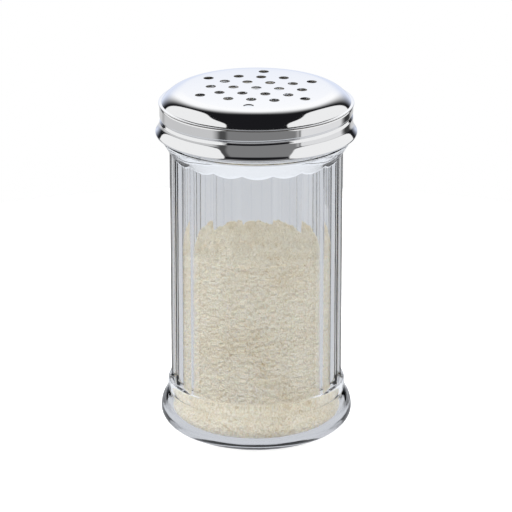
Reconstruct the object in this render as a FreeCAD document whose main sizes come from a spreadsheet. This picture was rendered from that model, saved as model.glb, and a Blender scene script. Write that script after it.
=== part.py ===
import FreeCAD, Part
import math
import os
import Sketcher

# A table shaker for grated cheese: a pressed glass jar with flat panels round its side, a
# perforated steel screw cap, and the cheese in the jar. Millimetres, +Z up, the origin in
# the middle of the foot on the table, one panel square to -Y.

# Driving dimensions: alias, value, what it measures. The spreadsheet holds the same rows.
DIMENSIONS = [
    ("jar_height", 132.1, "table to the top of the glass lip"),
    ("panel_count", 18, "flat panels round the side"),
    ("panel_apothem", 33.2, "axis to the middle of a panel"),
    ("corner_rise", 0.4, "how far the softened corners stand out from a panel's middle"),
    ("core_inset", 0.5, "panels to the turned core they stand on"),
    ("wall", 3.0, "middle of a panel to the straight wall inside"),
    ("wall_draft", 0.8, "how far the inside tapers in down to the floor"),
    ("draft_height", 32.0, "height where the inside stops tapering and runs straight"),
    ("cavity_corner", 4.0, "rounding between wall and floor inside"),
    ("floor_height", 7.0, "table to the glass floor inside"),
    ("foot_reach", 4.5, "how far the widest part of the foot stands out from the panels"),
    ("foot_waist", 8.1, "height of the widest part of the foot"),
    ("foot_side", 11.1, "radius of the foot's side above its widest part"),
    ("heel_reach", 13.0, "widest part of the foot in to the flat ring the jar stands on"),
    ("bearing_width", 4.2, "width of that ring"),
    ("dish_depth", 1.2, "depth of the dish inside that ring"),
    ("notch_height", 15.9, "height of the notch over the foot"),
    ("bead_bulge", 0.7, "how far the bead over the notch stands out"),
    ("ledge_reach", 1.1, "how far the ledge under the panels stands out from them"),
    ("ledge_height", 20.6, "height of the ledge"),
    ("finish_height", 12.9, "top of the shoulder to the top of the lip"),
    ("neck_wall", 5.4, "mouth to the outside of the neck between the threads"),
    ("shoulder_step", 0.8, "neck out to the edge of the shoulder under the cap"),
    ("shoulder_band", 0.7, "upright edge of the shoulder"),
    ("collar_height", 4.6, "rise of the cone from the panel edges to the shoulder"),
    ("lip_chamfer", 0.6, "softened edges of the lip"),
    ("thread_lead", 4.23, "rise of one turn of thread, six to the inch"),
    ("thread_start", 20.0, "bearing from +X where both threads start, degrees"),
    ("thread_drop", 7.1, "top of the lip down to the start of the cap's thread"),
    ("thread_rise", 0.95, "how far the glass thread stands out from the neck"),
    ("thread_width", 2.2, "width of the glass thread at its root"),
    ("thread_turns", 0.8, "turns of thread on the glass"),
    ("thread_sink", 0.2, "how far a thread's root reaches into its wall"),
    ("thread_clearance", 0.29, "glass thread to the inside of the cap's band"),
    ("seat_clearance", 0.15, "lip to the underside of the cap's crease"),
    ("skirt_clearance", 1.55, "shoulder of the glass to the rolled rim over it"),
    ("sheet", 0.5, "steel sheet of the cap"),
    ("crease_depth", 1.84, "outside of the band in to the bottom of the crease"),
    ("crease_height", 0.25, "width of the crease at its mouth"),
    ("lip_reach", 0.41, "how far the fold over the crease stands out from the band"),
    ("lip_height", 0.45, "height of that fold"),
    ("fold_width", 0.75, "foot of the dome out to the edge of that fold"),
    ("dome_height", 6.05, "bottom of the crease to the top of the dome"),
    ("dome_rounding", 10.6, "radius of the dome's turned-down edge"),
    ("flare_height", 3.77, "start of the flare to the top of the rolled rim"),
    ("rim_reach", 1.66, "how far the rolled rim stands out from the band"),
    ("rim_rounding", 0.75, "radius of the rolled rim"),
    ("groove_depth", 0.65, "depth of the thread rolled into the cap"),
    ("groove_width", 1.5, "width of that thread at the outside"),
    ("groove_turns", 1.1, "turns of thread in the cap"),
    ("hole_radius", 2.0, "each hole in the crown"),
    ("hole_pitch", 8.83, "spacing of the holes"),
    ("hole_margin", 4.5, "edge of the flat crown in to the middles of the outermost holes"),
    ("pattern_angle", -8.0, "turn of the hole pattern from +X, degrees"),
    ("packing_gap", 0.25, "contents to the glass"),
    ("heap_front", 77.0, "height of the contents at the front of the jar"),
    ("heap_middle", 78.5, "height of the contents across the middle"),
    ("heap_back", 74.0, "height of the contents at the back"),
]

# How far the facets of a rounded stretch stand in from the true round.
FACET_SAG = 0.08


class Size:
    """A length or an angle that knows its value and the spreadsheet formula it comes from."""

    def __init__(self, value, text):
        self.value = value
        self.text = text

    def join(self, other, sign, value):
        return Size(value, "(%s %s %s)" % (self.text, sign, as_size(other).text))

    def __add__(self, other):
        return self.join(other, "+", self.value + as_size(other).value)

    def __sub__(self, other):
        return self.join(other, "-", self.value - as_size(other).value)

    def __mul__(self, other):
        return self.join(other, "*", self.value * as_size(other).value)

    def __truediv__(self, other):
        return self.join(other, "/", self.value / as_size(other).value)


def as_size(thing):
    return thing if isinstance(thing, Size) else Size(float(thing), repr(float(thing)))


def sine(angle):
    angle = as_size(angle)
    return Size(math.sin(math.radians(angle.value)), "sin(%s)" % angle.text)


def cosine(angle):
    angle = as_size(angle)
    return Size(math.cos(math.radians(angle.value)), "cos(%s)" % angle.text)


def angle_of_sine(ratio):
    return Size(math.degrees(math.asin(ratio.value)), "(asin(%s) / 1 deg)" % ratio.text)


doc = FreeCAD.newDocument("shaker")
sheet = doc.addObject("Spreadsheet::Sheet", "dims")
sizes = {}
for row, (alias, number, meaning) in enumerate(DIMENSIONS, start=1):
    sheet.set("A%d" % row, alias)
    sheet.set("B%d" % row, str(number))
    sheet.set("C%d" % row, meaning)
    sheet.setAlias("B%d" % row, alias)
    sizes[alias] = Size(number, "dims." + alias)
doc.recompute()
ZERO = as_size(0)


def add_shared_sizes(d):
    """Radii and heights that several pieces take from the driving dimensions."""
    d["corner_radius"] = d["panel_apothem"] + d["corner_rise"]
    d["mouth_radius"] = d["panel_apothem"] - d["wall"]
    d["cavity_radius"] = d["mouth_radius"] - d["wall_draft"]
    d["foot_radius"] = d["panel_apothem"] + d["foot_reach"]
    d["neck_radius"] = d["mouth_radius"] + d["neck_wall"]
    d["shoulder_radius"] = d["neck_radius"] + d["shoulder_step"]
    d["shoulder_top"] = d["jar_height"] - d["finish_height"]
    d["thread_height"] = d["jar_height"] - d["thread_drop"]
    d["thread_crest"] = d["neck_radius"] + d["thread_rise"]
    d["inner_band"] = d["thread_crest"] + d["thread_clearance"]
    d["band_radius"] = d["inner_band"] + d["sheet"]
    d["crease_low"] = d["jar_height"] + d["seat_clearance"] + d["sheet"]


def new_body(label):
    body = doc.addObject("PartDesign::Body", label)
    body.Label = label
    return body


def origin_plane(body, role):
    return [item for item in body.Origin.OriginFeatures if item.Role == role][0]


def new_sketch(body, role, name):
    """A sketch on one of the body's own origin planes."""
    sketch = body.newObject("Sketcher::SketchObject", name)
    sketch.AttachmentSupport = (origin_plane(body, role), [""])
    sketch.MapMode = "FlatFace"
    return sketch


def pin_point(sketch, edge, end, name, across, up):
    """Hold one end of an edge at its two distances from the sketch's origin."""
    for axis, kind, size in ((-2, "DistanceX", across), (-1, "DistanceY", up)):
        if size.text == ZERO.text:
            sketch.addConstraint(Sketcher.Constraint("PointOnObject", edge, end, axis))
            continue
        index = sketch.addConstraint(Sketcher.Constraint(kind, -1, 1, edge, end, size.value))
        label = "%s_%s" % (name, kind)
        sketch.renameConstraint(index, label)
        sketch.setExpression("Constraints." + label, size.text)


def draw_outline(sketch, corners):
    """A closed outline of straight edges through named corners, all bound to the sheet."""
    points = [FreeCAD.Vector(across.value, up.value, 0) for _, across, up in corners]
    edges = []
    for start, stop in zip(points, points[1:] + points[:1]):
        edges.append(sketch.addGeometry(Part.LineSegment(start, stop), False))
    for edge, following in zip(edges, edges[1:] + edges[:1]):
        sketch.addConstraint(Sketcher.Constraint("Coincident", edge, 2, following, 1))
    for edge, (name, across, up) in zip(edges, corners):
        pin_point(sketch, edge, 1, name, across, up)
    doc.recompute()


def rounded(name, centre, half_axes, first, last):
    """Corners of a round or oval stretch, both ends in, by bearings about its centre."""
    first = as_size(first)
    span = as_size(last) - first
    mean_radius = (half_axes[0].value + half_axes[1].value) / 2
    facet_angle = math.degrees(2 * math.acos(1 - FACET_SAG / mean_radius))
    count = max(2, round(abs(span.value) / facet_angle))
    corners = []
    for index in range(count + 1):
        bearing = first + span * (index / count)
        across = centre[0] + half_axes[0] * cosine(bearing)
        up = centre[1] + half_axes[1] * sine(bearing)
        corners.append(("%s_%d" % (name, index), across, up))
    return corners


def turn_profile(body, kind, name, corners):
    """Turn a closed outline, given as radius and height, once round Z."""
    sketch = new_sketch(body, "XZ_Plane", name + "_outline")
    draw_outline(sketch, corners)
    feature = body.newObject(kind, name)
    feature.Profile = sketch
    feature.ReferenceAxis = (sketch, ["V_Axis"])
    feature.Angle = 360.0
    sketch.Visibility = False
    doc.recompute()


def wind_thread(body, kind, name, corners, turns, d):
    """Wind a closed outline up Z, right-handed, by the thread's lead."""
    sketch = new_sketch(body, "XZ_Plane", name + "_outline")
    sketch.AttachmentOffset = FreeCAD.Placement(
        FreeCAD.Vector(), FreeCAD.Rotation(FreeCAD.Vector(0, 1, 0), d["thread_start"].value)
    )
    sketch.setExpression("AttachmentOffset.Rotation.Angle", d["thread_start"].text)
    draw_outline(sketch, corners)
    feature = body.newObject(kind, name)
    feature.Profile = sketch
    feature.ReferenceAxis = (sketch, ["V_Axis"])
    feature.Mode = "pitch-turns-angle"
    feature.setExpression("Pitch", d["thread_lead"].text)
    feature.setExpression("Turns", turns.text)
    feature.Angle = 0
    feature.Growth = 0
    feature.LeftHanded = False
    feature.Reversed = False
    sketch.Visibility = False
    doc.recompute()


def thread_form(name, root, crest, height, width):
    """A thread's outline: a flat crest a third as wide as its root."""
    return [
        (name + "_root_low", root, height - width / 2),
        (name + "_crest_low", crest, height - width / 6),
        (name + "_crest_high", crest, height + width / 6),
        (name + "_root_high", root, height + width / 2),
    ]


def make_jar(d):
    body = new_body("glass_jar")
    shoulder_edge = d["shoulder_top"] - d["shoulder_band"]
    add_panels(body, d, shoulder_edge - d["collar_height"])
    add_turned_glass(body, d, shoulder_edge)
    cut_cavity(body, d)
    soften_lip(body, d)

    # The glass thread lies half a lead above the cap's, so each bears on the other's underside.
    start = d["thread_height"] + d["thread_lead"] / 2
    root = d["neck_radius"] - d["thread_sink"]
    ridge = thread_form("ridge", root, d["thread_crest"], start, d["thread_width"])
    wind_thread(body, "PartDesign::AdditiveHelix", "glass_thread", ridge, d["thread_turns"], d)
    return body


def add_panels(body, d, collar_foot):
    """A many-sided prism from the ledge into the collar, its edges softened by a ring cut."""
    foot = d["ledge_height"] - d["bead_bulge"]
    top = collar_foot + d["collar_height"] / 2
    prism = body.newObject("PartDesign::AdditivePrism", "panels")
    prism.AttachmentSupport = (origin_plane(body, "XY_Plane"), [""])
    prism.MapMode = "FlatFace"
    prism.setExpression("Polygon", d["panel_count"].text)
    half_panel = as_size(180) / d["panel_count"]
    prism.setExpression("Circumradius", (d["panel_apothem"] / cosine(half_panel)).text)
    prism.setExpression("AttachmentOffset.Base.z", foot.text)
    prism.setExpression("Height", (top - foot).text)
    doc.recompute()
    low = foot - d["core_inset"]
    high = top + d["core_inset"]
    edges = [
        ("inner_low", d["corner_radius"], low),
        ("outer_low", d["foot_radius"], low),
        ("outer_high", d["foot_radius"], high),
        ("inner_high", d["corner_radius"], high),
    ]
    turn_profile(body, "PartDesign::Groove", "panel_edges", edges)


def add_turned_glass(body, d, shoulder_edge):
    """Foot, bead, collar, shoulder and neck. Beside the panels the outline stays in them."""
    core = d["panel_apothem"] - d["core_inset"]
    slope = (d["shoulder_radius"] - d["corner_radius"]) / d["collar_height"]
    core_top = shoulder_edge - (d["shoulder_radius"] - core) / slope
    bearing_radius = d["foot_radius"] - d["heel_reach"]
    dish_radius = bearing_radius - d["bearing_width"]
    heel_centre = (bearing_radius, d["foot_waist"])
    heel_axes = (d["heel_reach"], d["foot_waist"])
    side_centre = (d["foot_radius"] - d["foot_side"], d["foot_waist"])
    side_axes = (d["foot_side"], d["foot_side"])
    side_end = angle_of_sine((d["notch_height"] - d["foot_waist"]) / d["foot_side"])
    bead_half = (d["ledge_height"] - d["notch_height"]) / 2
    bead_centre = (d["panel_apothem"] + d["ledge_reach"], d["notch_height"] + bead_half)
    dish = [
        ("dish", ZERO, d["dish_depth"]),
        ("dish_edge", dish_radius - d["dish_depth"] * 2, d["dish_depth"]),
        ("dish_rim", dish_radius, ZERO),
    ]
    heel = rounded("heel", heel_centre, heel_axes, -90, 0)
    heel[0] = ("bearing", bearing_radius, ZERO)
    side = rounded("side", side_centre, side_axes, 0, side_end)
    bead = rounded("bead", bead_centre, (d["bead_bulge"], bead_half), -60, 90)
    upper = [
        ("ledge_root", core, d["ledge_height"]),
        ("collar_root", core, core_top),
        ("shoulder_low", d["shoulder_radius"], shoulder_edge),
        ("shoulder_high", d["shoulder_radius"], d["shoulder_top"]),
        ("neck_root", d["neck_radius"], d["shoulder_top"]),
        ("neck_top", d["neck_radius"], d["jar_height"]),
        ("top", ZERO, d["jar_height"]),
    ]
    outline = dish + heel + side[1:] + bead + upper
    turn_profile(body, "PartDesign::Revolution", "turned_glass", outline)


def cut_cavity(body, d):
    """The hollow: a rounded floor, a short taper and a straight wall up to the mouth."""
    corner = d["cavity_corner"]
    corner_centre = (d["cavity_radius"] - corner, d["floor_height"] + corner)
    outline = [("floor", ZERO, d["floor_height"])]
    outline += rounded("corner", corner_centre, (corner, corner), -90, 0)
    outline += [
        ("draft", d["mouth_radius"], d["draft_height"]),
        ("mouth", d["mouth_radius"], d["jar_height"]),
        ("mouth_middle", ZERO, d["jar_height"]),
    ]
    full = body.Shape.Volume
    turn_profile(body, "PartDesign::Groove", "cavity", outline)
    require(body.Shape.Volume < full, "the cavity cuts the glass")


def soften_lip(body, d):
    """A small chamfer on both edges of the lip."""
    hollow_jar = body.Tip
    top = d["jar_height"].value
    lip = [
        "Edge%d" % number
        for number, edge in enumerate(hollow_jar.Shape.Edges, start=1)
        if all(abs(vertex.Z - top) < 1e-6 for vertex in edge.Vertexes)
    ]
    chamfer = body.newObject("PartDesign::Chamfer", "lip_edges")
    chamfer.Base = (hollow_jar, lip)
    chamfer.setExpression("Size", d["lip_chamfer"].text)
    doc.recompute()


def make_cap(d):
    body = new_body("perforated_cap")
    lip_low = d["crease_low"] + d["crease_height"]
    lip_top = lip_low + d["lip_height"]
    top = d["crease_low"] + d["dome_height"]
    dome_end = angle_of_sine((lip_top - top + d["dome_rounding"]) / d["dome_rounding"])
    dome_foot = d["band_radius"] + d["lip_reach"] - d["fold_width"]
    crown_radius = dome_foot - d["dome_rounding"] * cosine(dome_end)
    dome = crown_and_dome(d, crown_radius, top, dome_end, lip_low)
    outline = dome[0] + skirt_outside(d, lip_low, lip_top) + skirt_inside(d, lip_low) + dome[1]
    turn_profile(body, "PartDesign::Revolution", "drawn_sheet", outline)

    # The rolled thread: a bead inside the band and a groove of the same line outside it.
    crest = d["band_radius"] - d["groove_depth"]
    bead_root = d["inner_band"] + d["thread_sink"]
    bead_width = d["groove_width"] + d["sheet"]
    bead = thread_form("bead", bead_root, crest - d["sheet"], d["thread_height"], bead_width)
    wind_thread(body, "PartDesign::AdditiveHelix", "thread_bead", bead, d["groove_turns"], d)
    full = body.Shape.Volume
    groove_root = d["band_radius"] + d["thread_sink"]
    groove = thread_form("groove", groove_root, crest, d["thread_height"], d["groove_width"])
    wind_thread(body, "PartDesign::SubtractiveHelix", "thread_groove", groove, d["groove_turns"], d)
    require(body.Shape.Volume < full, "the rolled groove cuts the sheet")
    punch_holes(body, d, crown_radius - d["hole_margin"])
    return body


def crown_and_dome(d, crown_radius, top, dome_end, lip_low):
    """The crown and the dome's turned-down edge: the outside, then the inside back to the axis."""
    centre = (crown_radius, top - d["dome_rounding"])
    inner_rounding = d["dome_rounding"] - d["sheet"]
    inner_end = angle_of_sine((lip_low + d["sheet"] - centre[1]) / inner_rounding)
    outer_axes = (d["dome_rounding"], d["dome_rounding"])
    outside = rounded("dome", centre, outer_axes, 90, dome_end)
    inside = rounded("under", centre, (inner_rounding, inner_rounding), inner_end, 90)
    crown = ("crown", ZERO, top)
    crown_under = ("crown_under", ZERO, top - d["sheet"])
    return [crown] + outside, inside + [crown_under]


def skirt_outside(d, lip_low, lip_top):
    """Fold, crease, band, flare and rolled rim, down the outside and under the rim."""
    lip_radius = d["band_radius"] + d["lip_reach"]
    crease_radius = d["band_radius"] - d["crease_depth"]
    rim_centre = (d["band_radius"] + d["rim_reach"] - d["rim_rounding"], rim_height(d))
    flare_top = rim_height(d) + d["rim_rounding"] + d["flare_height"]
    fold = [
        ("lip", lip_radius, lip_top),
        ("lip_under", lip_radius, lip_low),
        ("crease", crease_radius, d["crease_low"] + d["crease_height"] / 2),
        ("band_top", d["inner_band"], d["crease_low"]),
        ("band_edge", d["band_radius"], d["crease_low"] - d["sheet"]),
        ("flare_top", d["band_radius"], flare_top),
        ("flare", d["band_radius"] + flare_spread(d), flare_top - d["flare_height"] / 2),
    ]
    return fold + rounded("rim", rim_centre, (d["rim_rounding"], d["rim_rounding"]), 90, -120)


def skirt_inside(d, lip_low):
    """The flare's inside, the band's, and the ledge that seats on the glass lip."""
    seat_radius = d["band_radius"] - d["crease_depth"] - d["sheet"]
    seat_height = d["crease_low"] - d["sheet"]
    flare_top = rim_height(d) + d["rim_rounding"] + d["flare_height"]
    return [
        ("inner_flare", d["inner_band"] + flare_spread(d), flare_top - d["flare_height"] / 2),
        ("inner_band", d["inner_band"], flare_top),
        ("inner_edge", d["inner_band"], seat_height),
        ("seat", seat_radius, seat_height),
        ("inner_crease", seat_radius, lip_low + d["sheet"] / 2),
    ]


def rim_height(d):
    """Height of the middle of the rolled rim."""
    return d["shoulder_top"] + d["skirt_clearance"] + d["rim_rounding"]


def flare_spread(d):
    """How far the flare has spread halfway down: a quarter of its whole spread, as it curves."""
    return (d["rim_reach"] - d["rim_rounding"]) / 4


def punch_holes(body, d, outer_ring):
    """One hole in the middle and four rings of six, punched through the crown."""
    middle = new_sketch(body, "XY_Plane", "middle_hole")
    punch(body, middle, "punch_middle", [("centre", ZERO, ZERO)], d)
    rings = [
        ("near", d["hole_pitch"], 0),
        ("corner", d["hole_pitch"] * 2, 0),
        ("side", d["hole_pitch"] * cosine(30) * 2, 30),
        ("outer", outer_ring, 30),
    ]
    centres = []
    for name, radius, lead in rings:
        bearing = d["pattern_angle"] + lead
        centres.append((name, radius * cosine(bearing), radius * sine(bearing)))
    sector = new_sketch(body, "XY_Plane", "hole_sector")
    pocket = punch(body, sector, "punch_sector", centres, d)
    pattern = body.newObject("PartDesign::PolarPattern", "hole_rings")
    pattern.Originals = [pocket]
    pattern.Axis = (sector, ["N_Axis"])
    pattern.Angle = 360.0
    pattern.Occurrences = 6
    body.Tip = pattern
    doc.recompute()


def punch(body, sketch, name, centres, d):
    """Punch round holes straight up through everything above the sketch."""
    for label, across, up in centres:
        centre = FreeCAD.Vector(across.value, up.value, 0)
        circle = Part.Circle(centre, FreeCAD.Vector(0, 0, 1), d["hole_radius"].value)
        edge = sketch.addGeometry(circle, False)
        number = sketch.addConstraint(Sketcher.Constraint("Radius", edge, d["hole_radius"].value))
        sketch.renameConstraint(number, label + "_radius")
        sketch.setExpression("Constraints.%s_radius" % label, d["hole_radius"].text)
        pin_point(sketch, edge, 3, label, across, up)
    doc.recompute()
    full = body.Shape.Volume
    pocket = body.newObject("PartDesign::Pocket", name)
    pocket.Profile = sketch
    pocket.Type = "ThroughAll"
    pocket.Reversed = True
    sketch.Visibility = False
    doc.recompute()
    require(body.Shape.Volume < full, name + " cuts the crown")
    return pocket


def make_cheese(d):
    """The contents: they follow the cavity, and their settled top falls away from a low ridge."""
    body = new_body("grated_cheese")
    gap = d["packing_gap"]
    corner = d["cavity_corner"]
    corner_centre = (d["cavity_radius"] - corner, d["floor_height"] + corner)
    outline = [("floor", ZERO, d["floor_height"] + gap)]
    outline += rounded("corner", corner_centre, (corner - gap, corner - gap), -90, 0)
    outline += [
        ("draft", d["mouth_radius"] - gap, d["draft_height"]),
        ("edge", d["mouth_radius"] - gap, d["shoulder_top"]),
        ("middle", ZERO, d["shoulder_top"]),
    ]
    turn_profile(body, "PartDesign::Revolution", "heap", outline)

    reach = d["mouth_radius"] - gap
    above = [
        ("front", ZERO - reach, d["heap_front"]),
        ("ridge", ZERO, d["heap_middle"]),
        ("back", reach, d["heap_back"]),
        ("back_top", reach, d["shoulder_top"]),
        ("front_top", ZERO - reach, d["shoulder_top"]),
    ]
    sketch = new_sketch(body, "YZ_Plane", "settled_top_outline")
    draw_outline(sketch, above)
    full = body.Shape.Volume
    cut = body.newObject("PartDesign::Pocket", "settled_top")
    cut.Profile = sketch
    cut.SideType = "Symmetric"
    cut.setExpression("Length", (reach * 2 + gap).text)
    sketch.Visibility = False
    doc.recompute()
    require(body.Shape.Volume < full, "the settled top cuts the contents")
    return body


def require(passed, claim):
    if not passed:
        raise RuntimeError("not so: " + claim)


def write_parts(bodies):
    """Check every object and write each sub-part to its own file."""
    doc.recompute()
    for item in doc.Objects:
        require(not {"Invalid", "Error"} & set(item.State), item.Label + " is sound")
    os.makedirs("parts", exist_ok=True)
    for body in bodies:
        shape = body.Shape
        require(not shape.isNull() and shape.isValid(), body.Label + " has a valid shape")
        require(len(shape.Solids) == 1, body.Label + " is one solid")
        shape.exportStep("parts/%s.step" % body.Label)
        print("%s: %.0f mm3, top %.2f mm" % (body.Label, shape.Volume, shape.BoundBox.ZMax))


add_shared_sizes(sizes)
write_parts([make_jar(sizes), make_cap(sizes), make_cheese(sizes)])
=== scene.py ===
"""Looks of a table shaker for grated cheese: pressed glass, a perforated steel cap and the cheese."""

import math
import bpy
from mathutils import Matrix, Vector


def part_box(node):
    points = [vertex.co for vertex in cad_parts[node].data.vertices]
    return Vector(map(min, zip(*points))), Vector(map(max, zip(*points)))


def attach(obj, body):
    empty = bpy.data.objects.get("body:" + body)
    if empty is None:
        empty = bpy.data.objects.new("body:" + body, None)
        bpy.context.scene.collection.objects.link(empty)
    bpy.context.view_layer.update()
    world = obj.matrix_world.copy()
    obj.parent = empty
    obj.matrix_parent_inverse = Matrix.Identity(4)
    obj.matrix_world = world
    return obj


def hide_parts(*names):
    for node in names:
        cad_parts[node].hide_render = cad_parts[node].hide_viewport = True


bl_info = {
    "name": "Cheese shaker looks",
    "version": (1, 0, 0),
    "blender": (4, 5, 0),
    "location": "View3D > Sidebar > Shaker",
    "description": "Builds the glass, steel cap, grated cheese and a small studio on a packed frame",
    "category": "Add Mesh",
}

import bpy
import numpy as np
from bpy.props import FloatProperty, FloatVectorProperty, IntProperty, PointerProperty
from mathutils import Vector, noise

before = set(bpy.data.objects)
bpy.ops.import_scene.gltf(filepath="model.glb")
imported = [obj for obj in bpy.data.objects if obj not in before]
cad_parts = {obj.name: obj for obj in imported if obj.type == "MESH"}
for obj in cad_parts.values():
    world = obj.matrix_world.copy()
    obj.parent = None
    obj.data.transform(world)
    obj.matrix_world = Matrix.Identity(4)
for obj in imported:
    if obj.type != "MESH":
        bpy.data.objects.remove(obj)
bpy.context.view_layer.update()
GLASS_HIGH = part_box("glass_jar")[1]
CAP_LOW, CAP_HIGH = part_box("perforated_cap")
HEAP_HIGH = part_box("grated_cheese")[1]
MM = 0.001
TURN = 2 * math.pi
LAMP_AIM = Vector((0, 0, 0.07))
LAMP_WIDTH = 0.8


def length(name, description, millimetres):
    """A length property, given in millimetres and kept in metres."""
    return FloatProperty(
        name=name, description=description, default=millimetres * MM, unit="LENGTH", precision=5
    )


def angle(name, description, degrees):
    return FloatProperty(
        name=name, description=description, default=math.radians(degrees), unit="ROTATION"
    )


def share(name, description, default):
    return FloatProperty(name=name, description=description, default=default, subtype="FACTOR")


def number(name, description, default):
    return FloatProperty(name=name, description=description, default=default)


def power(name, description, watts):
    return FloatProperty(name=name, description=description, default=watts, unit="POWER")


def colour(name, description, default):
    return FloatVectorProperty(
        name=name, description=description, default=default, subtype="COLOR", size=3, min=0, max=1
    )


class GlassSizes(bpy.types.PropertyGroup):
    """Section of the pressed glass jar."""

    height: length("Height", "Table to the top of the lip", GLASS_HIGH.z / MM)
    foot_radius: length("Foot radius", "Widest part of the foot", GLASS_HIGH.x / MM)
    foot_waist: length("Foot waist", "Height of the widest part of the foot", 8.1)
    foot_side: length("Foot side", "Radius of the foot's side above its widest part", 11.1)
    bearing_radius: length("Bearing radius", "Outside of the flat ring the jar stands on", 24.7)
    dish_radius: length("Dish radius", "Where the underside dishes up", 20.5)
    dish_depth: length("Dish depth", "Depth of the dish under the jar", 1.2)
    notch_height: length("Notch height", "Height of the notch over the foot", 15.9)
    bead_bulge: length("Bead bulge", "How far the bead over the notch stands out", 0.7)
    ledge_radius: length("Ledge radius", "Outside of the ledge under the panels", 34.3)
    ledge_height: length("Ledge height", "Height of the ledge under the panels", 20.6)
    flute_depth: length("Flute depth", "How far a panel's middle lies in from a flat one", 0.45)
    corner_radius: length("Corner radius", "Axis to the edge between two panels", 33.6)
    collar_height: length("Collar height", "Rise of the cone over the panels", 4.6)
    shoulder_radius: length("Shoulder radius", "Shoulder under the cap", 36.4)
    shoulder_band: length("Shoulder band", "Upright edge of the shoulder", 0.7)
    finish_height: length("Finish height", "Shoulder to the top of the lip", 12.9)
    neck_radius: length("Neck radius", "Outside of the neck", 35.6)
    mouth_radius: length("Mouth radius", "Inside of the mouth and the wall", 30.2)
    foot_wall: length("Foot wall", "Glass between the foot's side and the inside", 3.6)
    cavity_corner: length("Cavity corner", "Rounding between wall and floor inside", 5.0)
    floor_height: length("Floor height", "Table to the floor inside", 4.5)
    lip_rounding: length("Lip rounding", "Rounding of the lip's edges", 1.0)
    press_rounding: length("Press rounding", "Softness of the glass's other edges", 0.4)
    thread_crest: length("Thread crest", "Outside of the glass thread", 36.55)
    thread_half_width: length("Thread half width", "Thread's line to its root", 1.3)
    panels: IntProperty(name="Panels", description="Fluted panels round the side", default=18)


class ThreadSizes(bpy.types.PropertyGroup):
    """The right-handed screw thread that the cap and the jar share."""

    lead: length("Lead", "Rise of one turn", 4.23)
    start: angle("Start", "Bearing from +X where the threads start", 20.0)
    height: length("Height", "Shoulder to the start of the cap's thread", 5.8)
    cap_turns: number("Cap turns", "Turns of thread in the cap", 1.1)
    glass_turns: number("Glass turns", "Turns of thread on the jar", 0.8)
    run_out: share("Run-out", "Share of a turn over which a thread fades", 0.06)


class CapSizes(bpy.types.PropertyGroup):
    """Section of the drawn sheet and its holes."""

    sheet: length("Sheet", "Thickness of the steel", 0.5)
    crown_radius: length("Crown radius", "Edge of the crown", 27.8)
    crown_drop: length("Crown drop", "Fall of the crown from its middle to its edge", 0.33)
    dome_rounding: length("Dome rounding", "Radius of the dome's turned-down edge", 10.6)
    lip_radius: length("Lip radius", "Fold that overhangs the crease", 37.75)
    lip_rise: length("Lip rise", "Glass lip to the top of that fold", 1.35)
    lip_height: length("Lip height", "Height of that fold", 0.45)
    crease_radius: length("Crease radius", "Bottom of the crease", 35.5)
    seat_clearance: length("Seat clearance", "Glass lip to the underside of the crease", 0.15)
    band_radius: length("Band radius", "Outside of the band", 37.34)
    band_rounding: length("Band rounding", "Rounding of the band's top edge", 0.75)
    flare_rise: length("Flare rise", "Rim's middle to the start of the flare", 4.39)
    flare_spread: length("Flare spread", "How far the flare would spread over its rise", 1.85)
    rim_radius: length("Rim radius", "Outside of the rolled rim", CAP_HIGH.x / MM)
    rim_rounding: length("Rim rounding", "Radius of the rolled rim", 0.75)
    groove_depth: length("Groove depth", "Depth of the rolled thread", 0.65)
    groove_half_width: length("Groove half width", "Groove's line to its edge", 1.1)
    hole_radius: length("Hole radius", "Each hole in the crown", 2.0)
    hole_pitch: length("Hole pitch", "Spacing of the holes", 8.83)
    outer_ring: length("Outer ring", "Axis to the six outermost holes", 23.3)
    pattern_angle: angle("Pattern angle", "Turn of the hole pattern from +X", -8.0)


class CheeseSizes(bpy.types.PropertyGroup):
    """The heap of gratings and the crumbs on it."""

    gap: length("Gap", "Glass to the gratings", 0.15)
    front_height: length("Front height", "Height of the heap at the front", 77.0)
    middle_height: length("Middle height", "Height of the heap across the middle", 78.5)
    back_height: length("Back height", "Height of the heap at the back", 73.0)
    side_fall: length("Side fall", "How much lower the heap is at its sides", 3.5)
    lump: length("Lump", "Size of the larger lumps", 7.0)
    lump_height: length("Lump height", "Height of the larger lumps", 1.3)
    grain: length("Grain", "Size of the grains", 1.3)
    grain_depth: length("Grain depth", "Depth between the grains", 0.45)
    crumb_size: length("Crumb size", "Size of the loose crumbs", 0.75)
    crumb_count: IntProperty(name="Crumbs", description="Loose crumbs on the heap", default=5000)
    seed: IntProperty(name="Seed", description="Seed of everything random", default=7)


class Finishes(bpy.types.PropertyGroup):
    """Colours and textures of the three materials."""

    glass_tint: colour("Glass tint", "Colour of the glass", (0.992, 0.996, 1.0))
    steel: colour("Steel", "Colour of the polished steel", (0.83, 0.835, 0.85))
    steel_roughness: share("Steel roughness", "Roughness of the polish", 0.045)
    # Painted shade: the cap's inside gets this dark colour to stand for the shade under the cap.
    steel_inside_painted_shade: colour("Steel inside", "Colour of the shaded inside", (0.30, 0.28, 0.25))
    cheese_pale: colour("Pale cheese", "Most of the gratings", (0.90, 0.835, 0.69))
    # Painted shade between the grains; the same colour also gives random deeper patches their tone.
    cheese_deep_and_grain_shade: colour("Deep cheese", "Between the grains", (0.73, 0.62, 0.44))
    cheese_rind: colour("Rind", "Browner flecks", (0.50, 0.36, 0.16))


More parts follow.
